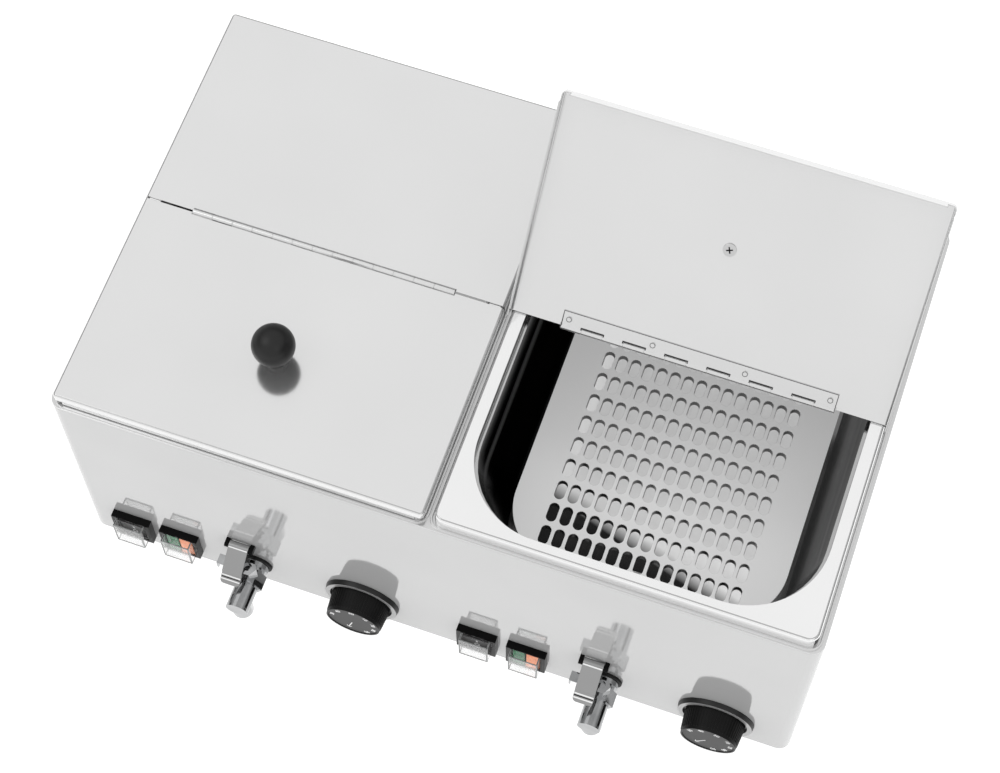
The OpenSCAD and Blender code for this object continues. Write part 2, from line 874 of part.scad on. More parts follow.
// The half in front of the hinge
module lid_half(screw_hole) {
    barrel_cut = barrel_dia/2 + barrel_gap;
    skirt_z = deck_z + lid_skirt_up;
    lid_h = lid_top_z - skirt_z;
    color("lightgray") difference() {
        soft_slab(2*lid_half_w, 2*lid_half_d, lid_corner_r, skirt_z, lid_h, lid_edge);
        soft_slab(2*(lid_half_w - lid_t), 2*(lid_half_d - lid_t), lid_corner_r - lid_t,
                  skirt_z - cut, lid_bottom_z - skirt_z + cut, lid_edge - lid_t);
        translate([-lid_half_w - cut, -lid_split/2, skirt_z - cut])
            cube([2*(lid_half_w + cut), lid_half_d + lid_split + cut, lid_h + 2*cut]);
        translate([-hinge_length/2 - clear, -barrel_cut, skirt_z - cut])
            cube([hinge_length + 2*clear, 2*barrel_cut, lid_h + 2*cut]);
        // Open corners between the folded rims
        for (side = [-1, 1]) translate([side*lid_half_w, -lid_half_d, deck_z]) rotate([0, 0, 45])
            cube([sqrt(2)*lid_corner_cut, sqrt(2)*lid_corner_cut, 2*lid_corner_cut], center = true);
        if (screw_hole) translate([0, -lid_knob_y, lid_bottom_z - cut])
            cylinder(r = knob_screw_r + run_fit, h = lid_t + 2*cut);
    }
}

module front_lid() {
    lid_half(true);
}

module rear_lid() {
    rotate([0, 0, 180]) lid_half(false);
}

// One leaf: its knuckles from the first number on in steps of two
module leaf(first) {
    barrel_r = barrel_dia/2;
    low = lid_bottom_z - leaf_t;
    difference() {
        union() {
            difference() {
                translate([-hinge_length/2, -leaf_reach, low]) cube([hinge_length, leaf_reach, leaf_t]);
                for (i = [1 - first : 2 : knuckles - 1])
                    translate([-hinge_length/2 + i*knuckle_pitch - knuckle_gap,
                               -barrel_r - barrel_gap, low - cut])
                        cube([knuckle_pitch + 2*knuckle_gap, barrel_r + barrel_gap + cut,
                              leaf_t + 2*cut]);
            }
            for (i = [first : 2 : knuckles - 1])
                translate([-hinge_length/2 + i*knuckle_pitch + knuckle_gap/2, 0, hinge_z])
                    rotate([0, 90, 0]) cylinder(r = barrel_r, h = knuckle_pitch - knuckle_gap);
            for (share = rivet_x_shares)
                translate([share*hinge_length, -rivet_y, low - rivet_h])
                    cylinder(d = rivet_dia, h = rivet_h + leaf_t/2);
        }
        translate([-hinge_length/2 - cut, 0, hinge_z]) rotate([0, 90, 0])
            cylinder(r = hinge_pin_dia/2 + run_fit, h = hinge_length + 2*cut);
    }
}

module moving_leaf() {
    color("silver") leaf(0);
}

module fixed_leaf() {
    color("silver") rotate([0, 0, 180]) leaf(1);
}

module hinge_pin() {
    color("gray") translate([-hinge_length/2, 0, hinge_z]) rotate([0, 90, 0])
        cylinder(r = hinge_pin_dia/2, h = hinge_length);
}

module lid_knob() {
    color("#151515") translate([0, -lid_knob_y, 0]) difference() {
        union() {
            translate([0, 0, lid_top_z + ball_up]) sphere(d = ball_dia);
            translate([0, 0, lid_top_z])
                cylinder(r1 = ball_stem_r + ball_stem_foot, r2 = ball_stem_r, h = ball_up);
        }
        translate([0, 0, lid_top_z - cut]) cylinder(r = knob_screw_r + run_fit, h = knob_screw_up + cut);
    }
}

module knob_screw() {
    color("gray") translate([0, -lid_knob_y, 0]) {
        translate([0, 0, lid_bottom_z - hair])
            cylinder(r = knob_screw_r, h = hair + lid_t + knob_screw_up - clear);
        translate([0, 0, lid_bottom_z - knob_screw_head_h])
            cylinder(r = knob_screw_head_r, h = knob_screw_head_h);
    }
}

// Turns a lid half back round the hinge
module opened() {
    translate([0, 0, hinge_z]) rotate([-open_angle, 0, 0]) translate([0, 0, -hinge_z]) children();
}

// Wiring

module terminal_block() {
    screw_reach = block_w/block_pitch/2;
    color("ivory") translate([gland_x, half_d - block_inset, foot_h + base_t]) difference() {
        translate([0, 0, block_h/2]) cube([block_w, block_d, block_h], center = true);
        for (i = [0 : block_w/block_pitch - 1], side = [-1, 1])
            translate([(i + 1/2 - screw_reach)*block_pitch, side*block_d/4, block_h/2])
                cylinder(r = screw_head_r/2, h = block_h);
    }
}

module cable_gland() {
    color("dimgray") difference() {
        union() {
            rear_rod(gland_x, gland_z, gland_r + gland_taper, gland_r - gland_taper,
                     gland_nut_t - cut, gland_out);
            rear_rod(gland_x, gland_z, gland_r, gland_r, -gland_in, gland_nut_t);
            translate([gland_x, half_d - sheet_t, gland_z]) rotate([-90, 0, 0])
                cylinder(r = gland_nut_r, h = gland_nut_t + sheet_t, $fn = 6);
            translate([gland_x, half_d - 2*sheet_t - gland_lock_t, gland_z]) rotate([-90, 0, 0])
                cylinder(r = gland_nut_r, h = gland_lock_t, $fn = 6);
        }
        rear_rod(gland_x, gland_z, cable_r, cable_r, -gland_in - cut, gland_out + cut);
    }
}

middle() housing_shell();
middle() rear_panel();
middle() base_plate();
middle() top_deck();
middle() feet();
middle() panel_screws();
middle() terminal_block();
middle() cable_gland();
middle() heater_clamps();
middle() safety_cutouts();
middle() drain_nuts();
middle() tap_gaskets();
left() basin();  // left_basin
left() tray();  // left_tray
left() heater();  // left_heater
left() thermostat();  // left_thermostat
left() spindle();  // left_spindle
left() dial_ring();  // left_dial_ring
left() knob();  // left_knob
left() switch();  // left_switch
left() rocker();  // left_rocker
left() switch_cover();  // left_switch_cover
left() indicator();  // left_indicator
left() green_lens();  // left_green_lens
left() orange_lens();  // left_orange_lens
left() indicator_cover();  // left_indicator_cover
left() tap_body();  // left_tap_body
left() tap_lever(left_slope);  // left_tap_lever
left() tap_pivot();  // left_tap_pivot
left() rear_lid();  // left_rear_lid
left() front_lid();  // left_front_lid
left() moving_leaf();  // left_moving_leaf
left() fixed_leaf();  // left_fixed_leaf
left() hinge_pin();  // left_hinge_pin
left() lid_knob();  // left_lid_knob
left() knob_screw();  // left_knob_screw
right() basin();  // right_basin
right() tray();  // right_tray
right() heater();  // right_heater
right() thermostat();  // right_thermostat
right() spindle();  // right_spindle
right() dial_ring();  // right_dial_ring
right() knob();  // right_knob
right() switch();  // right_switch
right() rocker();  // right_rocker
right() switch_cover();  // right_switch_cover
right() indicator();  // right_indicator
right() green_lens();  // right_green_lens
right() orange_lens();  // right_orange_lens
right() indicator_cover();  // right_indicator_cover
right() tap_body();  // right_tap_body
right() tap_lever(right_slope);  // right_tap_lever
right() tap_pivot();  // right_tap_pivot
right() rear_lid();  // right_rear_lid
right() opened() front_lid();  // right_front_lid
right() opened() moving_leaf();  // right_moving_leaf
right() fixed_leaf();  // right_fixed_leaf
right() hinge_pin();  // right_hinge_pin
right() opened() lid_knob();  // right_lid_knob
right() opened() knob_screw();  // right_knob_screw
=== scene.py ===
"""Looks of a hot dog steamer with two water wells, in metres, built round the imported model."""
import json
import math

import bmesh
import bpy
from mathutils import Matrix, Vector
from mathutils.bvhtree import BVHTree

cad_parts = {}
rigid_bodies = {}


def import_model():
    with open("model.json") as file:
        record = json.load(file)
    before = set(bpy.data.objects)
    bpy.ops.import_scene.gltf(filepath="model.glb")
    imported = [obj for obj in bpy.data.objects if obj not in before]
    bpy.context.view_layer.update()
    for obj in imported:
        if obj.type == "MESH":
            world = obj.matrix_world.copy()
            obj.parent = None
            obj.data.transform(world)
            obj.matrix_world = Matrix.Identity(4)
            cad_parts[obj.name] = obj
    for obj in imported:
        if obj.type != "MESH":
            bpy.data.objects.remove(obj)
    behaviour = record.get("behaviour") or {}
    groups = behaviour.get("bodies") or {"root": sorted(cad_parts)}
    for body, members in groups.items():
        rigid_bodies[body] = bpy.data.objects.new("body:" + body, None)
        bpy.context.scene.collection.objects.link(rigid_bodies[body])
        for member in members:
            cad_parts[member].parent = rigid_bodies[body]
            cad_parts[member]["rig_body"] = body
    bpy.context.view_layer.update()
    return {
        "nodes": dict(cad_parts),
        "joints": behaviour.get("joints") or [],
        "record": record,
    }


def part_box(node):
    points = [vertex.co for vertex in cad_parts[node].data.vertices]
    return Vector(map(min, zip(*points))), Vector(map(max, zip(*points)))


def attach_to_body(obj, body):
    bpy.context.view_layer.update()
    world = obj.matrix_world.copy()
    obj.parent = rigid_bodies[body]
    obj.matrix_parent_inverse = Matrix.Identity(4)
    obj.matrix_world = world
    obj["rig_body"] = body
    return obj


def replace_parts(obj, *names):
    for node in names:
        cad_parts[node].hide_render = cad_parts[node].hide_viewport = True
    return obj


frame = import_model()

MM = 0.001
SIDES = ("left", "right")
INWARD = Vector((0, 1, 0))
QUARTER_TURN = math.radians(90)

# Camera, solved from the photograph: angles in degrees, lens and sensor in millimetres
CAM_AZIMUTH = 19.414
CAM_ELEVATION = 64.678
CAM_ROLL = -0.134
CAM_LENS = 86.01
CAM_SENSOR = 36.0
CAM_PLACE = (0.24329, -0.69545, 1.68958)
CAM_CLIP_START = 0.05
CAM_CLIP_END = 50

# Noise scales, in cells to a metre
GRAIN_SCALE = 900
CLOUD_SCALE = 7
BAND_SCALE = 60
PLATING_SCALE = 60
PLASTIC_GRAIN_SCALE = 1400
WEAR_SCALE = 40
RIPPLE_SCALE = 240
RIB_SCALE = 500
SPECK_SCALE = 30

# How noise is drawn out along the axes, or squeezed where a number is over 1
EVEN = (1, 1, 1)
ACROSS = (0.02, 1, 1)
DEEP = (1, 0.02, 1)
ROUND_WELL = (0.05, 0.05, 1)
ROUND_WELL_FINE = (0.03, 0.03, 1)
LEVEL_RIBS = (1, 1, 4)

# Spans of a value that a material maps: most of what noise gives, or all but the ends of a ramp
NOISE_SPAN = (0.3, 0.7)
RAMP_SPAN = (0.1, 0.9)

WHITE = (1, 1, 1, 1)

# How far the level, the colour and the roughness vary, bump strengths, and reliefs in metres
STEEL_SPREAD = 0.03
STEEL_ROUGH_SPREAD = 0.03
PLASTIC_ROUGH_SPREAD = 0.05
WELL_ROUGHNESS = (0.10, 0.18)
CHROME_ROUGHNESS = (0.03, 0.08)
PLASTIC_BUMP = 0.12
BAND_BUMP = 0.04
PLATING_BUMP = 0.08
GRAIN_RELIEF = 0.0001
BAND_RELIEF = 0.0004
RIPPLE_RELIEF = 0.0003
PLATING_RELIEF = 0.0005
CHROME_DARK = (0.34, 0.345, 0.35)
CHROME_LIGHT = (0.46, 0.465, 0.47)
LENS_DARKEST = 0.7

# Metres between the middle lines of the two wells, and how far back both lie
UNIT_PITCH = 0.2706
WELL_MIDDLE_Y = 0.011

# The greys below are painted reflections and painted shade.
# Greys of a well's walls from the lower height (0) to the upper one (1), and how far they waver
WELL_HEIGHTS = (0.088, 0.236)
WELL_PAINTED_STOPS = ((0.0, 0.45), (0.20, 0.03), (0.63, 0.004), (0.72, 0.012), (0.795, 0.22), (0.84, 0.03),
              (0.92, 0.16), (0.986, 0.60))
WELL_TINT = 0.25
BAND_SHIFT = 0.012

# A well's floor turns from painted shade to painted light between these depths on its middle line,
# further front the further to the right; where it is painted light it also has a painted glow
FLOOR_SLANT = 0.3
FLOOR_DARK_Y = -0.076
FLOOR_BRIGHT_Y = -0.058
FLOOR_DARK = 0.02
FLOOR_BRIGHT = 0.75
FLOOR_PAINTED_GLOW = 0.34

# Sheet steels: grey level, roughness, grain, how metallic, bump and glow, which is painted light
STEELS = {
    "housing_steel": dict(level=0.53, rough=0.06, grain=ACROSS, metal=0.30),
    "deck_steel": dict(level=0.60, rough=0.12, grain=ACROSS, metal=0.6, glow=0.06),
    "basin_steel": dict(level=0.88, rough=0.10, grain=ACROSS, metal=0.85),
    # The front of a basin's skirt, painted lighter with a painted glow.
    "skirt_steel": dict(level=0.62, rough=0.14, grain=ACROSS, metal=0.5, glow=0.20),
    # The start of a bend, painted darker as shade.
    "bend_steel": dict(level=0.47, rough=0.12, grain=ACROSS, metal=0.8),
    "tray_steel": dict(level=0.45, rough=0.34, grain=DEEP, metal=0.2, glow=0.33),
    "lid_steel": dict(level=0.75, rough=0.13, grain=DEEP, metal=0.85),
    "hinge_steel": dict(level=0.72, rough=0.16, grain=ACROSS, metal=0.8),
    "plain_steel": dict(level=0.55, rough=0.35),
    "lever_steel": dict(level=0.33, rough=0.24, metal=0.6, bump=0.01),
    "heater_metal": dict(level=0.18, rough=0.5),
    "screw_steel": dict(level=0.60, rough=0.22),
    "ring_front": dict(level=0.40, rough=0.30, metal=0.5),
    # Painted highlight and painted shade for rounded edges, lines and rings.
    "edge_bright": dict(level=0.93, rough=0.10, metal=0.5),
    "edge_shade": dict(level=0.10, rough=0.15, metal=0.9),
    # Painted shade inside the slots of a tray.
    "slot_wall": dict(level=0.10, rough=0.30, metal=0.6),
}

# Plastics, rubbers and ceramics: colour, roughness, grain, how far the colour varies, and sheen
PLASTICS = {
    # Painted shade on the rounded edges of the clear covers.
    "edge_clear": dict(colour=(0.42, 0.43, 0.43), rough=0.2, spread=0.1),
    # Painted shade for the thin lines on a lever and a hinge.
    "edge_dark": dict(colour=(0.03, 0.03, 0.03), rough=0.5, sheen=0.1),
    "knob_black": dict(colour=(0.008, 0.008, 0.008), rough=0.45, sheen=0.14),
    "face_black": dict(colour=(0.06, 0.06, 0.06), rough=0.5, spread=0.12, sheen=0.2),
    "dial_black": dict(colour=(0.014, 0.014, 0.014), rough=0.38),
    "switch_black": dict(colour=(0.002, 0.002, 0.002), rough=0.30, sheen=0.08),
    "rocker_black": dict(colour=(0.022, 0.022, 0.022), rough=0.30),
    "ball_black": dict(colour=(0.012, 0.012, 0.012), rough=0.36, grain_scale=900),
    "gasket_rubber": dict(colour=(0.010, 0.010, 0.010), rough=0.6),
    "foot_rubber": dict(colour=(0.03, 0.03, 0.03), rough=0.7),
    "gland_plastic": dict(colour=(0.03, 0.03, 0.03), rough=0.45),
    "ceramic_body": dict(colour=(0.62, 0.57, 0.47), rough=0.55, spread=0.06),
    "mark_white": dict(colour=(0.85, 0.85, 0.85), rough=0.5, spread=0.04),
}

# Clear plastics: grey, lowest and highest roughness, and bump; lenses: colour and glow
CLEAR_PLASTICS = {
    "clear_cover": dict(tone=0.94, roughness=(0.0, 0.03), bump=0.01),
    "frosted": dict(tone=0.96, roughness=(0.08, 0.16), bump=0.03),
}
LENSES = {
    "green_lens": dict(colour=(0.005, 0.20, 0.07), glow=0.12),
    "orange_lens": dict(colour=(0.95, 0.30, 0.12), glow=0.35),
}

# Finish of a node other than its slot's, and of the rounded edges of a node, by its short name: a
# painted highlight on the tray's edges, painted shade on the tap body's and the covers'
LOOKS = {"knob_screw": "screw_steel"}
RIMS = {"tray": "edge_bright", "tap_body": "edge_shade", "switch_cover": "edge_clear",
        "indicator_cover": "edge_clear"}

# Bevel widths in millimetres, by a node's short name
BEVELS = {
    "knob": 0.5, "lid_knob": 0.2, "switch": 0.5, "indicator": 0.5, "dial_ring": 0.5,
    "tap_body": 0.35, "tap_lever": 0.2, "tap_pivot": 0.3, "tap_gaskets": 0.5, "feet": 1.2,
    "rocker": 0.4, "cable_gland": 0.5, "terminal_block": 0.6, "panel_screws": 0.3,
    "thermostat": 0.6, "housing_shell": 0.25, "top_deck": 0.3, "base_plate": 0.2,
    "rear_panel": 0.25, "tray": 0.4, "moving_leaf": 0.12, "fixed_leaf": 0.12,
    "switch_cover": 0.4, "indicator_cover": 0.4, "green_lens": 0.4, "orange_lens": 0.4,
    "front_lid": 0.15, "rear_lid": 0.15, "basin": 0.2, "heater": 0.3, "heater_clamps": 0.3,
    "safety_cutouts": 0.5, "drain_nuts": 0.4, "spindle": 0.2, "hinge_pin": 0.15,
    "knob_screw": 0.2,
}
BEVEL_SEGMENTS = 2
MERGE = 2e-6
FLAT_ANGLE = math.radians(0.6)
SMOOTH_ANGLE = math.radians(32)

# The free corners of a tap lever's flap: radius, and how their edges are told from the others
FLAP_ROUND = 3
FLAP_SEGMENTS = 5
FLAP_EDGE_LONGEST = 1.6
FLAP_EDGE_HIGHEST = 3
FLAP_EDGE_SLANT = 0.1

# Where the finishes of a basin, a lid, a knob, a ring and a cover change: heights in millimetres,
# and parts of a face's normal
BEND_LEAN = (0.84, 0.985)
SKIRT_LOW = 222.2
SKIRT_FACING = -0.7
WELL_TOP = 231.6
RIM_UNDERSIDE = -0.05
FLOOR_TOP = 88.0
FLOOR_FACING = 0.2
FLAT_FRONT = -0.9
RING_FRONT = -0.75
COVER_FRONT_Y = -0.164

# Marks: where a ray starts before a surface, in metres, how deep a mark is sunk and how far it
# stands proud, in millimetres
RAY_START = 0.05
MARK_SINK = 0.02
MARK_PROUD = 0.06
LID_MARK_PROUD = 0.05
FRONT_Y = -0.17

# Dial: angles in degrees, the rest in millimetres; a strip is its start, its end and its width
DIAL_ANGLES = (170, 134, 92, 53, 18, -18, -52)
DIAL_NUMBERS = ("30", "40", "50", "60", "70", "80", "90")
DIAL_TURN = {"left": 0, "right": -20}
DIAL_RADIUS = 16.2
DIAL_PROBE = 8
DIGIT_SIZE = 4.4
DIGIT_THICKNESS = 0.04
DIGIT_BOLDNESS = 0.10
DIGIT_PROUD = 0.05
POINTER_ANGLE = -107
POINTER_STRIPS = (((3, 0), (14.5, 0), 0.75), ((14.5, 0), (11.8, 1.9), 0.6),
                  ((14.5, 0), (11.8, -1.9), 0.6))

# Rocker: its bar, and a ring from pieces of so many degrees
ROCKER_BAR = ((0, -3.6), (0, 1.8), 1.3)
RING_PIECE = 15
RING_OUTER = 2.1
RING_INNER = 1.4
RING_DOWN = 8.8

# Lever: name, material, shares of its height from the top and width of its lines, which are a
# painted highlight and painted shade
LEVER_LINES = (("bright", "edge_bright", (0.04, 0.76, 0.85), 0.5),
               ("dark", "edge_dark", (0.80,), 0.45))
LEVER_MARGIN = 0.3

# Front lid: how far each is open at rest in degrees, and places from the hinge's axis
OPENED = {"left": 0.0, "right": 130.6}
KNOB_REACH = 88.3
SCREW_BAR = ((-2.3, 0), (2.3, 0), 0.95)
SCREW_TURNS = (20, 110)
SCREW_AWAY = 6
KNUCKLES = 13
KNUCKLE_PITCH = 194 / 13
JOINT_HALF = 8.1
JOINT_SPAN = (-0.9, 2.9)
JOINT_LINE = 0.6
JOINT_END_HALF = 8.4
JOINT_END = 3.0
JOINT_END_LINE = 0.85
LEAF_HALF = 96.6
LEAF_EDGE = 12.2
LEAF_CORNER = 12.4
LEAF_LINE = 0.45
HINGE_AWAY = 2
RIVET_SHARES = (-0.475, -0.168, 0.168, 0.475)
RIVET_REACH = 6.8
RIVET_RING = ((-0.36, 1.7), (0.36, 1.7), 0.42)
RIVET_PIECES = 16
RIVET_AWAY = 4

# Slots of a tray and their collars: millimetres, and for each edge of a collar's section how far
# it lies outside the slot's radius and how deep
SLOT_WIDTH = 7.5
SLOT_LENGTH = 14.8
SLOT_PITCH_X = 10
SLOT_PITCH_Y = 18
SLOT_COLUMNS = 15
SLOT_ROWS = 13
COLLAR_SECTION = ((0.05, 0), (-0.25, 5), (0.35, 5), (0.6, 0))
COLLAR_TOP = 0.5
COLLAR_HALF_POINTS = 8
COLLAR_STEP = 24
COLLAR_START = 6

# Floor, surroundings and lamps; a lamp is its name, place, size and power
STAGE_SIZE = 12
STAGE_DROP = -0.0002
STAGE_DARK = 0.30
STAGE_LIGHT = 0.33
STAGE_GLOW = 0.92
SKY_STOPS = ((0.0, 0.55), (0.16, 0.10), (0.38, 0.16), (0.56, 0.95), (0.80, 1.0), (1.0, 0.96))
SKY_FRONT = 0.98
SKY_FRONT_SPAN = (-0.75, -0.35)
LAMP_AIM = Vector((0, 0, 0.15))
LAMPS = (("key_lamp", (-1.3, -0.5, 2.0), 1.2, 5), ("fill_lamp", (1.6, -1.4, 1.8), 1.4, 2))


def placed(name, data):
    """A new object in the scene."""
    thing = bpy.data.objects.new(name, data)
    bpy.context.scene.collection.objects.link(thing)
    return thing


def make_camera():
    """The camera at the photograph's angle."""
    azimuth, elevation, roll = (math.radians(a) for a in (CAM_AZIMUTH, CAM_ELEVATION, CAM_ROLL))
    back = Vector((math.sin(azimuth) * math.cos(elevation),
                   -math.cos(azimuth) * math.cos(elevation), math.sin(elevation)))
    right = Vector((math.cos(azimuth), math.sin(azimuth), 0))
    up = back.cross(right)
    across = right * math.cos(roll) + up * math.sin(roll)
    upward = up * math.cos(roll) - right * math.sin(roll)
    data = bpy.data.cameras.new("camera")
    data.lens = CAM_LENS
    data.sensor_width = CAM_SENSOR
    data.clip_start = CAM_CLIP_START
    data.clip_end = CAM_CLIP_END
    camera = placed("camera", data)
    turn = Matrix((across, upward, back)).transposed().to_4x4()
    camera.matrix_world = Matrix.Translation(CAM_PLACE) @ turn
    bpy.context.scene.camera = camera


# Node trees. Their owner is a material or the world.

def new_material(name):
    """A material with its principled shader, and the two as a pair."""
    material = bpy.data.materials.new(name)
    material.use_nodes = True
    return material, material.node_tree.nodes["Principled BSDF"]


def add(owner, kind):
    return owner.node_tree.nodes.new(kind)


def link(owner, out, into):
    owner.node_tree.links.new(out, into)


def preset(node, values):
    """Sets sockets of a node by their names."""
    for socket, value in values.items():
        node.inputs[socket].default_value = value


def grey(level):
    return (level, level, level)


def coordinates(owner, kind="Object"):
    """Coordinates, with one output for each axis."""
    place = add(owner, "ShaderNodeTexCoord")
    split = add(owner, "ShaderNodeSeparateXYZ")
    link(owner, place.outputs[kind], split.inputs["Vector"])
    return split.outputs


def noise(owner, scale, stretch=EVEN, detail=4.0, roughness=0.55):
    """Noise over the object's own coordinates, drawn out along an axis by stretch."""
    place = add(owner, "ShaderNodeTexCoord")
    mapping = add(owner, "ShaderNodeMapping")
    preset(mapping, {"Scale": stretch})
    texture = add(owner, "ShaderNodeTexNoise")
    preset(texture, {"Scale": scale, "Detail": detail, "Roughness": roughness})
    link(owner, place.outputs["Object"], mapping.inputs["Vector"])
    link(owner, mapping.outputs["Vector"], texture.inputs["Vector"])
    return texture.outputs["Fac"]


def scaled_sum(owner, value, factor, plus):
    """A value times a factor, plus another value."""
    node = add(owner, "ShaderNodeMath")
    node.operation = "MULTIPLY_ADD"
    node.inputs[1].default_value = factor
    link(owner, value, node.inputs[0])
    link(owner, plus, node.inputs[2])
    return node.outputs[0]


def ranged(owner, value, low, high, span=NOISE_SPAN):
    """The value within its span, mapped to the range from low to high."""
    node = add(owner, "ShaderNodeMapRange")
    preset(node, {"From Min": span[0], "From Max": span[1], "To Min": low, "To Max": high})
    link(owner, value, node.inputs["Value"])
    return node.outputs["Result"]


def shaded(owner, value, dark, light, span=NOISE_SPAN):
    """A colour between dark and light by where the value is in its span."""
    ramp = add(owner, "ShaderNodeValToRGB")
    for element, position, colour in zip(ramp.color_ramp.elements, span, (dark, light)):
        element.position = position
        element.color = (*colour, 1)
    link(owner, value, ramp.inputs["Fac"])
    return ramp.outputs["Color"]


def stepped(owner, value, stops):
    """A grey by a value from 0 to 1, with stops as pairs of value and level."""
    ramp = add(owner, "ShaderNodeValToRGB")
    elements = ramp.color_ramp.elements
    for i, (position, level) in enumerate(stops):
        element = elements[i] if i < 2 else elements.new(position)
        element.position = position
        element.color = (*grey(level), 1)
    link(owner, value, ramp.inputs["Fac"])
    return ramp.outputs["Color"]


def bumped(owner, shader, value, strength, relief):
    """Raises the surface by a value."""
    bump = add(owner, "ShaderNodeBump")
    preset(bump, {"Strength": strength, "Distance": relief})
    link(owner, value, bump.inputs["Height"])
    link(owner, bump.outputs["Normal"], shader.inputs["Normal"])


# Materials

def steel(name, level, rough, grain=EVEN, metal=1.0, bump=0.02, glow=0.0):
    """Sheet steel with a fine grain drawn out along one axis, a faint cloudiness and any glow,
    which is painted light.
    """
    material, shader = new_material(name)
    preset(shader, {"Metallic": metal, "Emission Color": WHITE, "Emission Strength": glow})
    fine = noise(material, GRAIN_SCALE, grain, detail=3)
    cloud = noise(material, CLOUD_SCALE, detail=2)
    colour = shaded(material, cloud, grey(level - STEEL_SPREAD / 2), grey(level + STEEL_SPREAD / 2))
    link(material, colour, shader.inputs["Base Color"])
    roughness = ranged(material, fine, rough - STEEL_ROUGH_SPREAD / 2,
                       rough + STEEL_ROUGH_SPREAD / 2)
    link(material, roughness, shader.inputs["Roughness"])
    bumped(material, shader, fine, bump, GRAIN_RELIEF)
    return material


def well_steel(name):
    """Polished walls of a deep well: bands of painted reflection and painted shade that run round
    it, most of them dark.
    """
    material, shader = new_material(name)
    preset(shader, {"Metallic": 1.0, "Specular Tint": (*grey(WELL_TINT), 1)})
    bands = noise(material, BAND_SCALE, ROUND_WELL, detail=3, roughness=0.7)
    wavering = scaled_sum(material, bands, BAND_SHIFT, coordinates(material)["Z"])
    height = ranged(material, wavering, 0, 1, WELL_HEIGHTS)
    link(material, stepped(material, height, WELL_PAINTED_STOPS), shader.inputs["Base Color"])
    fine = noise(material, GRAIN_SCALE, ROUND_WELL_FINE, detail=2)
    link(material, ranged(material, fine, *WELL_ROUGHNESS), shader.inputs["Roughness"])
    bumped(material, shader, bands, BAND_BUMP, BAND_RELIEF)
    return material


def floor_steel(name):
    """The floor of a well: painted light and a painted glow where light falls in at the right and
    the back, else painted shade.
    """
    material, shader = new_material(name)
    preset(shader, {"Metallic": 0.6, "Roughness": 0.25, "Emission Color": WHITE})
    axes = coordinates(material)
    across = add(material, "ShaderNodeMath")
    across.operation = "WRAP"
    across.inputs[1].default_value = UNIT_PITCH
    across.inputs[2].default_value = 0
    link(material, axes["X"], across.inputs[0])
    slanted = scaled_sum(material, across.outputs[0], FLOOR_SLANT, axes["Y"])
    middle = FLOOR_SLANT * UNIT_PITCH / 2
    depth = ranged(material, slanted, 0, 1, (middle + FLOOR_DARK_Y, middle + FLOOR_BRIGHT_Y))
    colour = shaded(material, depth, grey(FLOOR_DARK), grey(FLOOR_BRIGHT), RAMP_SPAN)
    link(material, colour, shader.inputs["Base Color"])
    glow = ranged(material, depth, 0.0, FLOOR_PAINTED_GLOW, RAMP_SPAN)
    link(material, glow, shader.inputs["Emission Strength"])
    return material


def plastic(name, colour, rough, grain_scale=PLASTIC_GRAIN_SCALE, spread=0.25, sheen=0.3):
    """Moulded plastic with a fine eroded grain."""
    material, shader = new_material(name)
    preset(shader, {"Specular IOR Level": sheen})
    fine = noise(material, grain_scale, detail=3)
    wear = noise(material, WEAR_SCALE, detail=3)
    dark = tuple(c * (1 - spread) for c in colour)
    light = tuple(min(1, c * (1 + spread)) for c in colour)
    link(material, shaded(material, wear, dark, light), shader.inputs["Base Color"])
    roughness = ranged(material, wear, rough - PLASTIC_ROUGH_SPREAD, rough + PLASTIC_ROUGH_SPREAD)
    link(material, roughness, shader.inputs["Roughness"])
    bumped(material, shader, fine, PLASTIC_BUMP, GRAIN_RELIEF)
    return material


def clear_plastic(name, tone, roughness, bump):
    """Clear moulded plastic with a faint ripple."""
    material, shader = new_material(name)
    preset(shader, {"Base Color": (*grey(tone), 1), "Transmission Weight": 1.0, "IOR": 1.4})
    ripple = noise(material, RIPPLE_SCALE, detail=2)
    link(material, ranged(material, ripple, *roughness), shader.inputs["Roughness"])
    bumped(material, shader, ripple, bump, RIPPLE_RELIEF)
    return material


def lens_plastic(name, colour, glow):
    """Coloured lens with fine ribs."""
    material, shader = new_material(name)
    preset(shader, {"Roughness": 0.12, "Specular IOR Level": 0.3,
                    "Emission Color": (*colour, 1), "Emission Strength": glow})
    ribs = noise(material, RIB_SCALE, LEVEL_RIBS, detail=1)
    dark = tuple(c * LENS_DARKEST for c in colour)
    link(material, shaded(material, ribs, dark, colour), shader.inputs["Base Color"])
    return material


def chrome(name):
    """Polished plating with faint ripples."""
    material, shader = new_material(name)
    preset(shader, {"Metallic": 1.0})
    cloud = noise(material, PLATING_SCALE, detail=2)
    colour = shaded(material, cloud, CHROME_DARK, CHROME_LIGHT)
    link(material, colour, shader.inputs["Base Color"])
    link(material, ranged(material, cloud, *CHROME_ROUGHNESS), shader.inputs["Roughness"])
    bumped(material, shader, cloud, PLATING_BUMP, PLATING_RELIEF)
    return material


MATERIALS = {"well_steel": well_steel("well_steel"), "floor_steel": floor_steel("floor_steel"),
             "tap_chrome": chrome("tap_chrome")}
for make, table in ((steel, STEELS), (plastic, PLASTICS), (clear_plastic, CLEAR_PLASTICS),
                    (lens_plastic, LENSES)):
    MATERIALS.update({name: make(name, **values) for name, values in table.items()})


# Nodes and the pieces that stand for them

def short_name(node):
    """A node's name without its side."""
    for side in SIDES:
        if node.startswith(side + "_"):
            return node[len(side) + 1:]
    return node


def slot_of(node):
    return next(s["material_slot"] for s in frame["record"]["subparts"] if s["node"] == node)


def box_of(node):
    """A node's lowest corner, its middle and its highest corner."""
    low, high = (Vector(c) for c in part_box(node))
    return low, (low + high) / 2, high


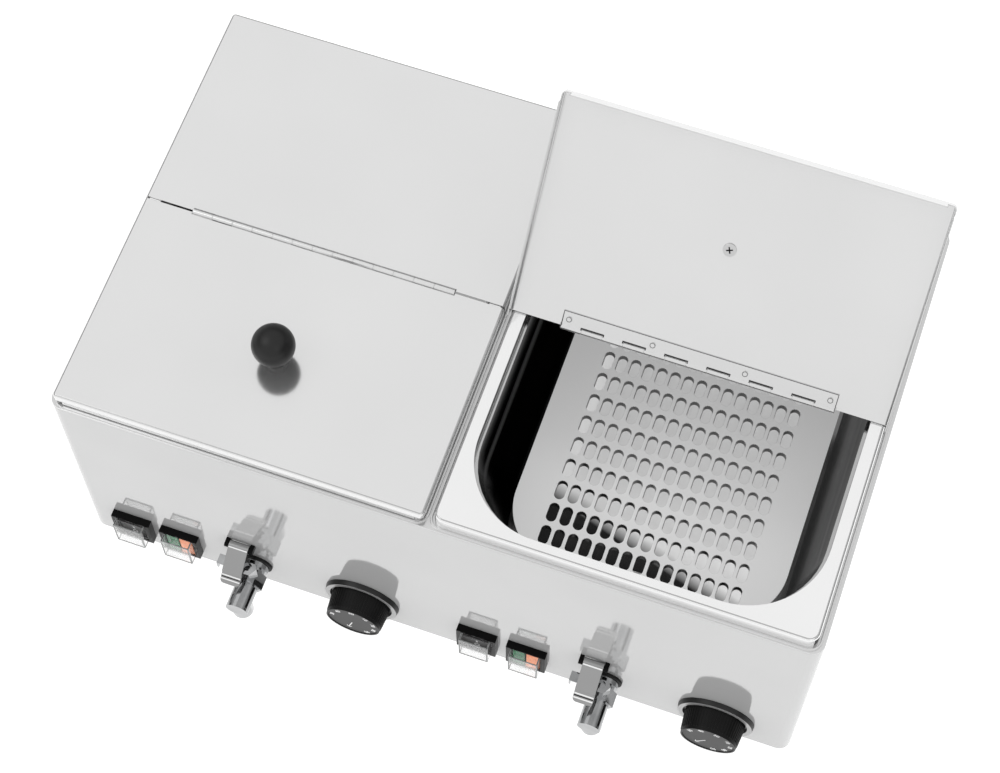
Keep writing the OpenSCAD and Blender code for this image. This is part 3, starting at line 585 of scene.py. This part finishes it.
def attach(piece, node):
    """Makes a piece ride on a node's body."""
    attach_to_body(piece, frame["nodes"][node]["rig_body"])


def mesh_from(work, name):
    mesh = bpy.data.meshes.new(name)
    work.to_mesh(mesh)
    work.free()
    return mesh


def show(work, name, materials, node):
    """A smoothly shaded piece that goes with a node."""
    mesh = mesh_from(work, name)
    mesh.set_sharp_from_angle(angle=SMOOTH_ANGLE)
    piece = placed(name, mesh)
    for material in materials:
        mesh.materials.append(MATERIALS[material])
    even = piece.modifiers.new("even", "WEIGHTED_NORMAL")
    even.keep_sharp = True
    attach(piece, node)
    return piece


# Zones: which finish a face has, by its middle, its normal and how near the latter is to that of
# the node's largest face (1 where they are the same)

def on_bend(tilt):
    """Whether a face is where a plate starts to bend down, which takes painted shade."""
    return BEND_LEAN[0] < tilt < BEND_LEAN[1]


def basin_zone(centre, normal, tilt):
    """0 rim, 1 walls of the well, with painted reflections and shade, 2 its floor, with painted
    light and shade, 3 the front of its skirt, painted light, 4 the start of the bend above the
    skirt, painted shade."""
    height = centre.z / MM
    middle = Vector((math.copysign(UNIT_PITCH / 2, centre.x), WELL_MIDDLE_Y, centre.z))
    outside = (centre - middle).dot(normal) > 0
    if height > SKIRT_LOW and normal.y < SKIRT_FACING and outside:
        return 3
    if height > SKIRT_LOW and outside and on_bend(tilt):
        return 4
    if height > WELL_TOP or (height > FLOOR_TOP and normal.z < RIM_UNDERSIDE):
        return 0
    return 2 if height < FLOOR_TOP and normal.z > FLOOR_FACING else 1


def lid_zone(centre, normal, tilt):
    """0 a lid half, 1 the start of the bend above its skirt, in painted shade."""
    return 1 if on_bend(tilt) else 0


def knob_zone(centre, normal, tilt):
    """0 the side of a dial knob, 1 its sunk face."""
    return 1 if normal.y < FLAT_FRONT else 0


def ring_zone(centre, normal, tilt):
    """0 a ring's side, 1 its front."""
    return 1 if normal.y < RING_FRONT else 0


def cover_zone(centre, normal, tilt):
    """0 the clear sides of a switch cover, 1 its frosted front."""
    return 1 if normal.y < FLAT_FRONT and centre.y < COVER_FRONT_Y else 0


ZONES = {
    "basin": (basin_zone,
              ("basin_steel", "well_steel", "floor_steel", "skirt_steel", "bend_steel")),
    "front_lid": (lid_zone, ("lid_steel", "bend_steel")),
    "rear_lid": (lid_zone, ("lid_steel", "bend_steel")),
    "knob": (knob_zone, ("knob_black", "face_black")),
    "dial_ring": (ring_zone, ("dial_black", "ring_front")),
    "switch_cover": (cover_zone, ("clear_cover", "frosted")),
    "indicator_cover": (cover_zone, ("clear_cover", "frosted")),
}


def bevel(work, edges, width, segments):
    """Rounds edges by a width in millimetres, and gives the new faces."""
    return bmesh.ops.bevel(work, geom=edges, offset=width * MM, offset_type="OFFSET",
                           segments=segments, profile=0.5, affect="EDGES",
                           clamp_overlap=True)["faces"]


def round_flap(work):
    """Rounds the two free corners of a tap lever's flap."""
    low = min(v.co.z for v in work.verts)
    corners = [e for e in work.edges if e.calc_length() < FLAP_EDGE_LONGEST * MM
               and all(v.co.z < low + FLAP_EDGE_HIGHEST * MM for v in e.verts)
               and abs((e.verts[0].co - e.verts[1].co).x) < FLAP_EDGE_SLANT * MM]
    bevel(work, corners, FLAP_ROUND, FLAP_SEGMENTS)


def refine(node):
    """A copy of a node's solid with rounded edges and smooth shading, which stands for the node."""
    kind = short_name(node)
    work = bmesh.new()
    work.from_mesh(frame["nodes"][node].data)
    bmesh.ops.remove_doubles(work, verts=work.verts, dist=MERGE)
    bmesh.ops.dissolve_limit(work, angle_limit=FLAT_ANGLE, verts=work.verts, edges=work.edges)
    if kind == "tap_lever":
        round_flap(work)
    sharp = [e for e in work.edges
             if len(e.link_faces) == 2 and e.calc_face_angle(0) > SMOOTH_ANGLE]
    rounded = bevel(work, sharp, BEVELS[kind], BEVEL_SEGMENTS)
    zone, materials = ZONES.get(kind, (None, (LOOKS.get(kind, slot_of(node)),)))
    plate = max(work.faces, key=lambda face: face.calc_area()).normal.copy()
    for face in work.faces:
        face.smooth = True
        if zone:
            tilt = abs(face.normal.dot(plate))
            face.material_index = zone(face.calc_center_median(), face.normal, tilt)
    # Rounded edges named in RIMS take the painted highlight and painted shade listed there.
    if kind in RIMS:
        for face in rounded:
            face.material_index = len(materials)
        materials = (*materials, RIMS[kind])
    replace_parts(show(work, node + "_finish", materials, node), node)


# Marks that lie on a surface

def tree_of(node):
    mesh = frame["nodes"][node].data
    return BVHTree.FromPolygons([v.co for v in mesh.vertices], [p.vertices for p in mesh.polygons])


def mark(node, name, outlines, material, toward=INWARD, proud=MARK_PROUD):
    """Thin closed pieces on a node's surface. Each outline is a list of points in the row frame,
    in metres, which are moved along toward until they meet the surface. An outline that misses it
    anywhere is left out."""
    tree = tree_of(node)
    ahead = Vector(toward).normalized()
    work = bmesh.new()
    for outline in outlines:
        hits = [tree.ray_cast(Vector(point) - ahead * RAY_START, ahead)[0] for point in outline]
        if any(hit is None for hit in hits):
            continue
        front = [work.verts.new(h - ahead * proud * MM) for h in hits]
        back = [work.verts.new(h + ahead * MARK_SINK * MM) for h in hits]
        work.faces.new(front)
        work.faces.new(back[::-1])
        for i in range(len(hits)):
            j = (i + 1) % len(hits)
            work.faces.new((front[j], front[i], back[i], back[j]))
    bmesh.ops.recalc_face_normals(work, faces=work.faces)
    mesh = mesh_from(work, name)
    mesh.materials.append(MATERIALS[material])
    attach(placed(name, mesh), node)


def strip(start, end, width):
    """The outline of a straight mark from start to end, as pairs (across, up)."""
    start, end = Vector(start), Vector(end)
    along = (end - start).normalized()
    side = Vector((-along.y, along.x)) * width / 2
    return [start + side, start - side, end - side, end + side]


def around(points, angle):
    """Points turned about zero by an angle in degrees."""
    c, s = math.cos(math.radians(angle)), math.sin(math.radians(angle))
    return [(p[0] * c - p[1] * s, p[0] * s + p[1] * c) for p in points]


def on_front(points, x, z):
    """Points (across, up) in millimetres about (x, z), as places in the row frame."""
    return [(x + p[0] * MM, FRONT_Y, z + p[1] * MM) for p in points]


def dial_number(node, name, number, turn, middle, face):
    """One number on a dial knob, at an angle round the knob's middle and upright from there."""
    data = bpy.data.curves.new(name, "FONT")
    data.body = number
    data.size = DIGIT_SIZE * MM
    data.align_x = "CENTER"
    data.align_y = "CENTER"
    data.extrude = DIGIT_THICKNESS * MM
    data.offset = DIGIT_BOLDNESS * MM
    data.materials.append(MATERIALS["mark_white"])
    text = placed(name, data)
    place = Vector((middle.x + DIAL_RADIUS * MM * math.cos(turn), face - DIGIT_PROUD * MM,
                    middle.z + DIAL_RADIUS * MM * math.sin(turn)))
    text.matrix_world = (Matrix.Translation(place) @ Matrix.Rotation(QUARTER_TURN - turn, 4, "Y")
                         @ Matrix.Rotation(QUARTER_TURN, 4, "X"))
    attach(text, node)


def dial_marks(side):
    """Numbers round the face of a dial knob and its pointer line."""
    node = side + "_knob"
    middle = box_of(node)[1]
    probe = Vector((middle.x + DIAL_PROBE * MM, FRONT_Y - RAY_START, middle.z + DIAL_PROBE * MM))
    face = tree_of(node).ray_cast(probe, INWARD)[0].y
    for angle, number in zip(DIAL_ANGLES, DIAL_NUMBERS):
        dial_number(node, side + "_dial_" + number, number,
                    math.radians(angle + DIAL_TURN[side]), middle, face)
    angle = POINTER_ANGLE + DIAL_TURN[side]
    outlines = [on_front(around(strip(*s), angle), middle.x, middle.z) for s in POINTER_STRIPS]
    mark(node, side + "_pointer", outlines, "mark_white")


def rocker_marks(side):
    """The bar and the ring that show on and off."""
    node = side + "_rocker"
    middle = box_of(node)[1]
    outlines = [strip(*ROCKER_BAR)]
    for start in range(0, 360, RING_PIECE):
        a, b = math.radians(start), math.radians(start + RING_PIECE)
        corners = ((RING_OUTER, a), (RING_OUTER, b), (RING_INNER, b), (RING_INNER, a))
        outlines.append([(r * math.cos(t), r * math.sin(t) - RING_DOWN) for r, t in corners])
    mark(node, side + "_rocker_marks", [on_front(o, middle.x, middle.z) for o in outlines],
         "mark_white")


def lever_lines(side):
    """Bright lines of painted highlight and dark lines of painted shade where a lever's strip
    starts and where it is stepped to its flap.
    """
    node = side + "_tap_lever"
    low, middle, high = box_of(node)
    reach = (high.x - low.x) / MM / 2 - LEVER_MARGIN
    for name, material, shares, width in LEVER_LINES:
        outlines = []
        for share in shares:
            up = (high.z - (high.z - low.z) * share - middle.z) / MM
            outlines.append(on_front(strip((-reach, up), (reach, up), width), middle.x, middle.z))
        mark(node, side + "_lever_lines_" + name, outlines, material)


def lid_mark(side, node, name, outlines, material, away, proud):
    """A mark on the underside of a front lid. Its outlines are pairs (across, outward) from the
    hinge's axis, in millimetres, and away is how far below that underside they start."""
    joint = next(j for j in frame["joints"] if j["name"] == side + "_lid_hinge")
    opened = math.radians(OPENED[side])
    outward = Vector((0, -math.cos(opened), math.sin(opened)))
    down = Vector((0, -math.sin(opened), -math.cos(opened)))
    places = [[Vector(joint["pos_m"]) + Vector((p[0] * MM, 0, 0)) + outward * p[1] * MM
               + down * away * MM for p in outline] for outline in outlines]
    mark(side + node, side + name, places, material, -down, proud)


def moved(points, across, outward):
    return [(p[0] + across, p[1] + outward) for p in points]


def hinge_lines(side):
    """Painted shade lines at the joints round a hinge's knuckles and along the edge of its leaf,
    and painted shade rings round its rivets.
    """
    outlines = []
    for i in range(KNUCKLES // 2):
        centre = (2 * i + 1.5 - KNUCKLES / 2) * KNUCKLE_PITCH
        outlines += [strip((x, JOINT_SPAN[0]), (x, JOINT_SPAN[1]), JOINT_LINE)
                     for x in (centre - JOINT_HALF, centre + JOINT_HALF)]
        outlines.append(strip((centre - JOINT_END_HALF, JOINT_END),
                              (centre + JOINT_END_HALF, JOINT_END), JOINT_END_LINE))
    outlines.append(strip((-LEAF_HALF, LEAF_EDGE), (LEAF_HALF, LEAF_EDGE), LEAF_LINE))
    outlines += [strip((x, 0), (x, LEAF_CORNER), LEAF_LINE) for x in (-LEAF_HALF, LEAF_HALF)]
    lid_mark(side, "_moving_leaf", "_hinge_lines", outlines, "edge_dark", HINGE_AWAY, MARK_PROUD)
    rings = [moved(around(strip(*RIVET_RING), i * 360 / RIVET_PIECES),
                   share * KNUCKLES * KNUCKLE_PITCH, RIVET_REACH)
             for share in RIVET_SHARES for i in range(RIVET_PIECES)]
    lid_mark(side, "_moving_leaf", "_rivet_rings", rings, "edge_shade", RIVET_AWAY, LID_MARK_PROUD)


def screw_cross(side):
    """Painted shade where the cross recess lies in the head of the screw that holds a lid's knob.
    """
    cross = [moved(around(strip(*SCREW_BAR), turn), 0, KNOB_REACH) for turn in SCREW_TURNS]
    lid_mark(side, "_knob_screw", "_screw_cross", cross, "switch_black", SCREW_AWAY,
             LID_MARK_PROUD)


def slot_collar(work, x, y, top):
    """The turned-down collar of one slot, as a closed ring of one section."""
    count = 2 * COLLAR_HALF_POINTS
    reach = (SLOT_LENGTH - SLOT_WIDTH) / 2
    loops = []
    for outside, deep in COLLAR_SECTION:
        radius = SLOT_WIDTH / 2 + outside
        loop = []
        for i in range(count):
            half, step = divmod(i, COLLAR_HALF_POINTS)
            turn = math.radians(step * COLLAR_STEP + half * 180) + math.radians(COLLAR_START)
            end = -reach if half else reach
            loop.append(work.verts.new((x + radius * math.cos(turn) * MM,
                                        y + (radius * math.sin(turn) + end) * MM,
                                        top - deep * MM)))
        loops.append(loop)
    for a, b in zip(loops, loops[1:] + loops[:1]):
        for i in range(count):
            j = (i + 1) % count
            work.faces.new((a[i], a[j], b[j], b[i]))


def slot_collars(side):
    """The turned-down collars of the slots in a tray, in a dark steel that paints the shade inside
    the slots.
    """
    node = side + "_tray"
    _, middle, high = box_of(node)
    work = bmesh.new()
    for column in range(SLOT_COLUMNS):
        for row in range(SLOT_ROWS):
            slot_collar(work, middle.x + (column - (SLOT_COLUMNS - 1) / 2) * SLOT_PITCH_X * MM,
                        middle.y + (row - (SLOT_ROWS - 1) / 2) * SLOT_PITCH_Y * MM,
                        high.z - COLLAR_TOP * MM)
    bmesh.ops.recalc_face_normals(work, faces=work.faces)
    for face in work.faces:
        face.smooth = True
    show(work, side + "_slot_collars", ("slot_wall",), node)


# Stage

def make_floor():
    """A plain pale floor, bright enough that the part casts no shadow on it."""
    bpy.ops.mesh.primitive_plane_add(size=STAGE_SIZE, location=(0, 0, STAGE_DROP))
    floor = bpy.context.object
    floor.name = "floor"
    material, shader = new_material("floor_white")
    preset(shader, {"Roughness": 0.9, "Specular IOR Level": 0.1, "Emission Color": WHITE,
                    "Emission Strength": STAGE_GLOW})
    speck = noise(material, SPECK_SCALE)
    colour = shaded(material, speck, grey(STAGE_DARK), grey(STAGE_LIGHT))
    link(material, colour, shader.inputs["Base Color"])
    floor.data.materials.append(material)


def make_world():
    """Surroundings that are pale above and in front, and darker near the horizon elsewhere."""
    world = bpy.data.worlds.new("studio")
    bpy.context.scene.world = world
    world.use_nodes = True
    axes = coordinates(world, "Generated")
    sky = stepped(world, axes["Z"], SKY_STOPS)
    mix = add(world, "ShaderNodeMix")
    mix.data_type = "RGBA"
    preset(mix, {"A": (*grey(SKY_FRONT), 1)})
    link(world, ranged(world, axes["Y"], 0, 1, SKY_FRONT_SPAN), mix.inputs["Factor"])
    link(world, sky, mix.inputs["B"])
    background = world.node_tree.nodes["Background"]
    preset(background, {"Strength": 1.0})
    link(world, mix.outputs["Result"], background.inputs["Color"])


def make_lamps():
    """Two large soft lamps."""
    for name, place, size, power in LAMPS:
        data = bpy.data.lights.new(name, "AREA")
        data.size = size
        data.energy = power
        lamp = placed(name, data)
        lamp.location = place
        lamp.rotation_euler = (Vector(place) - LAMP_AIM).to_track_quat("Z", "Y").to_euler()


make_camera()
make_floor()
make_world()
make_lamps()
bpy.context.scene.view_settings.view_transform = "Standard"
for node_name in frame["nodes"]:
    refine(node_name)
for side_name in SIDES:
    dial_marks(side_name)
    rocker_marks(side_name)
    lever_lines(side_name)
    hinge_lines(side_name)
    screw_cross(side_name)
    slot_collars(side_name)
